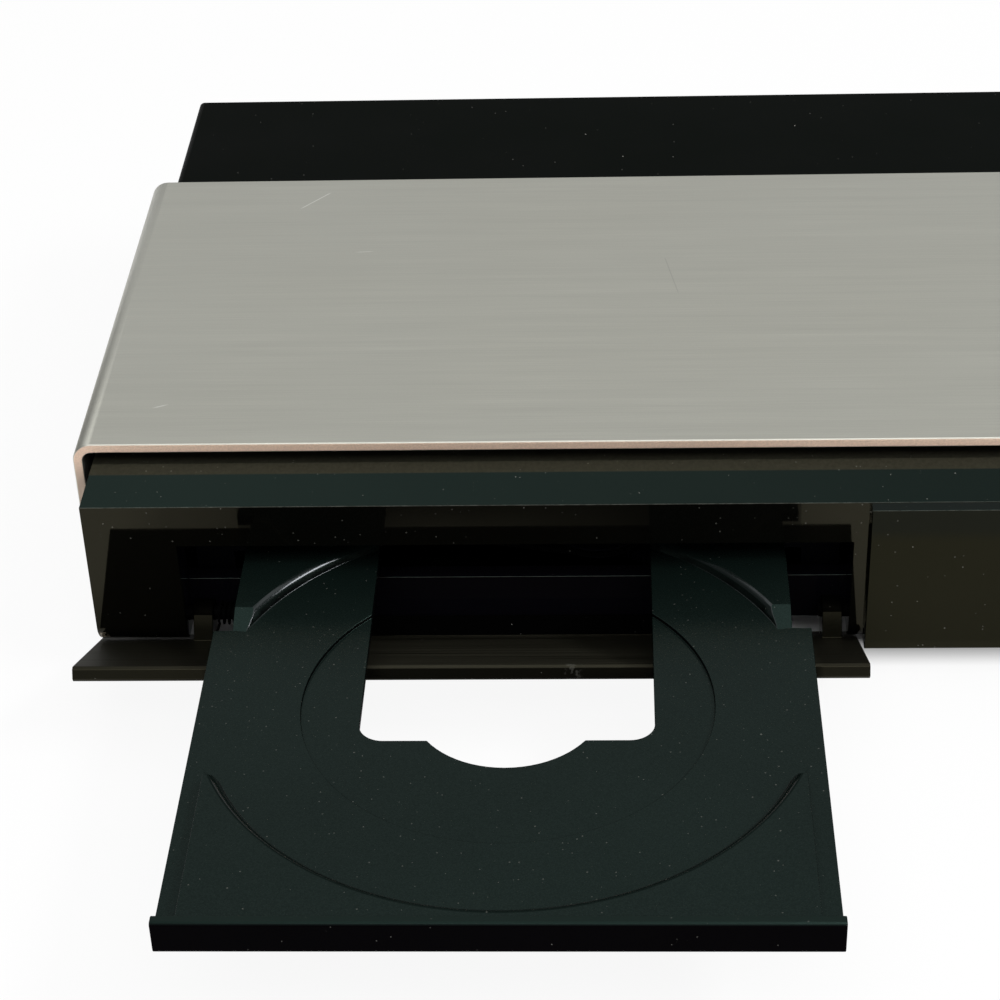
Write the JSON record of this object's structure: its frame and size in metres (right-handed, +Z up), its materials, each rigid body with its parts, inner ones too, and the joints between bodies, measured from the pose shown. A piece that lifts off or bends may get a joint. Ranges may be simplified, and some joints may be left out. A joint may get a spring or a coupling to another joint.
{
  "type": "blu-ray player",
  "caption": "Flat disc player with a brushed aluminium wrap, a glossy front, a drop-down flap and a sliding disc tray on a geared loader.",
  "frame": {"origin": "middle of the whole object's box with the tray out, on the plane that the feet stand on", "axes": "+X to the right seen from the front, +Y to the back, +Z up"},
  "size_m": [0.43, 0.2914, 0.0533],
  "materials": {
    "aluminium": "brushed along its length, satin",
    "black_steel": "black paint, satin",
    "gloss_black": "black, polished",
    "tray_plastic": "black, fine texture",
    "lip_plastic": "black, polished",
    "zinc_steel": "zinc plated",
    "bright_steel": "ground and polished",
    "black_screw": "black oxide",
    "foot_rubber": "black, matte",
    "dark_plastic": "dark grey, moulded",
    "white_plastic": "off-white, moulded",
    "magnet": "sintered, dark",
    "lens_glass": "coated lens",
    "brass_screw": "turned",
    "green_board": "green solder mask",
    "tan_board": "tan paper board",
    "chip_resin": "black moulding compound",
    "sink_metal": "anodised",
    "winding": "yellow tape over windings",
    "sleeve": "shrunk sleeve",
    "display_glass": "smoked"
  },
  "bodies": {
    "cabinet": {"audio_sockets": "dark_plastic", "board_screws": "bright_steel", "cabinet_screws": "black_screw", "capacitors": "sleeve", "chassis": "zinc_steel", "clamp_bridge": "zinc_steel", "display_module": "display_glass", "drive_belt": "foot_rubber", "feet": "foot_rubber", "flap_pins": "bright_steel", "flap_spring": "bright_steel", "front_board": "green_board", "front_fascia": "gloss_black", "front_panel": "gloss_black", "hdmi_socket": "bright_steel", "heat_sink": "sink_metal", "lan_socket": "bright_steel", "loader_frame": "dark_plastic", "loader_screws": "bright_steel", "loading_motor": "black_steel", "main_board": "green_board", "main_chips": "chip_resin", "mains_inlet": "dark_plastic", "power_board": "tan_board", "rear_panel": "black_steel", "tact_switches": "dark_plastic", "top_cover": "black_steel", "top_wrap": "aluminium", "transformer": "winding", "usb_socket": "bright_steel", "wrap_spacers": "dark_plastic"},
    "tray": {"disc_tray": "tray_plastic", "tray_lip": "lip_plastic"},
    "flap": {"flap_door": "gloss_black"},
    "main_gear": {"main_gear": "dark_plastic"},
    "pulley_gear": {"pulley_gear": "dark_plastic"},
    "motor_pulley": {"motor_pulley": "dark_plastic"},
    "cam": {"cam_slider": "dark_plastic"},
    "deck": {"deck": "zinc_steel", "spindle_motor": "zinc_steel", "guide_rods": "bright_steel", "feed_motor": "zinc_steel"},
    "turntable": {"turntable": "dark_plastic"},
    "pickup": {"pickup": "dark_plastic", "objective_lens": "lens_glass"},
    "lead_screw": {"lead_screw": "brass_screw"},
    "clamper": {"clamper": "white_plastic", "clamp_magnet": "magnet"},
    "power_button": {"power_button": "gloss_black"},
    "open_button": {"open_button": "gloss_black"},
    "play_button": {"play_button": "gloss_black"},
    "stop_button": {"stop_button": "gloss_black"}
  },
  "joints": [
    {"name": "tray_slide", "type": "slide", "parent": "cabinet", "child": "tray", "axis": [0, 1, 0], "range_m": [0, 0.118]},
    {"name": "main_gear_spin", "type": "hinge", "parent": "cabinet", "child": "main_gear", "pos_m": [-0.0841, -0.0061, 0.0198], "axis": [0, 0, 1], "range_deg": [0, 530]},
    {"name": "pulley_gear_spin", "type": "hinge", "parent": "cabinet", "child": "pulley_gear", "pos_m": [-0.10262, -0.00903, 0.0188], "axis": [0, 0, 1], "range_deg": [-2114, 0]},
    {"name": "motor_pulley_spin", "type": "hinge", "parent": "cabinet", "child": "motor_pulley", "pos_m": [-0.1386, -0.00903, 0.0188], "axis": [0, 0, 1], "range_deg": [-7055, 0]},
    {"name": "flap_hinge", "type": "hinge", "parent": "cabinet", "child": "flap", "pos_m": [-0.1206, -0.0297, 0.0116], "axis": [1, 0, 0], "range_deg": [0, 22], "stiffness_Nm_per_rad": 0.005, "springref_deg": -61.88},
    {"name": "deck_lift", "type": "hinge", "parent": "cabinet", "child": "deck", "pos_m": [-0.1206, 0.1199, 0.0188], "axis": [-1, 0, 0], "range_deg": [0, 4.76]},
    {"name": "cam_slide", "type": "slide", "parent": "cabinet", "child": "cam", "axis": [1, 0, 0], "range_m": [0, 0.0181]},
    {"name": "turntable_spin", "type": "hinge", "parent": "deck", "child": "turntable", "pos_m": [-0.1206, 0.03752, 0.01997], "axis": [0, -0.0829, 0.9966], "continuous": true},
    {"name": "pickup_slide", "type": "slide", "parent": "deck", "child": "pickup", "axis": [0, 0.9966, 0.0829], "range_m": [0, 0.034]},
    {"name": "lead_screw_spin", "type": "hinge", "parent": "deck", "child": "lead_screw", "pos_m": [-0.0856, 0.07009, 0.01445], "axis": [0, 0.9966, 0.0829], "range_deg": [0, 4083]},
    {"name": "clamper_spin", "type": "hinge", "parent": "cabinet", "child": "clamper", "pos_m": [-0.1206, 0.0379, 0.0328], "axis": [0, 0, 1], "continuous": true},
    {"name": "power_press", "type": "slide", "parent": "cabinet", "child": "power_button", "axis": [0, 1, 0], "range_m": [0, 0.0008], "stiffness_N_per_m": 1500},
    {"name": "open_press", "type": "slide", "parent": "cabinet", "child": "open_button", "axis": [0, 1, 0], "range_m": [0, 0.0008], "stiffness_N_per_m": 1500},
    {"name": "play_press", "type": "slide", "parent": "cabinet", "child": "play_button", "axis": [0, 1, 0], "range_m": [0, 0.0008], "stiffness_N_per_m": 1500},
    {"name": "stop_press", "type": "slide", "parent": "cabinet", "child": "stop_button", "axis": [0, 1, 0], "range_m": [0, 0.0008], "stiffness_N_per_m": 1500}
  ],
  "couplings": [
    {"joint": "main_gear_spin", "follows": "tray_slide", "rad_per_m": 78.125},
    {"joint": "pulley_gear_spin", "follows": "tray_slide", "rad_per_m": -312.5},
    {"joint": "motor_pulley_spin", "follows": "tray_slide", "rad_per_m": -1043.3},
    {"joint": "cam_slide", "follows": "deck_lift", "m_per_rad": 0.21681},
    {"joint": "lead_screw_spin", "follows": "pickup_slide", "rad_per_m": 2094.4}
  ]
}
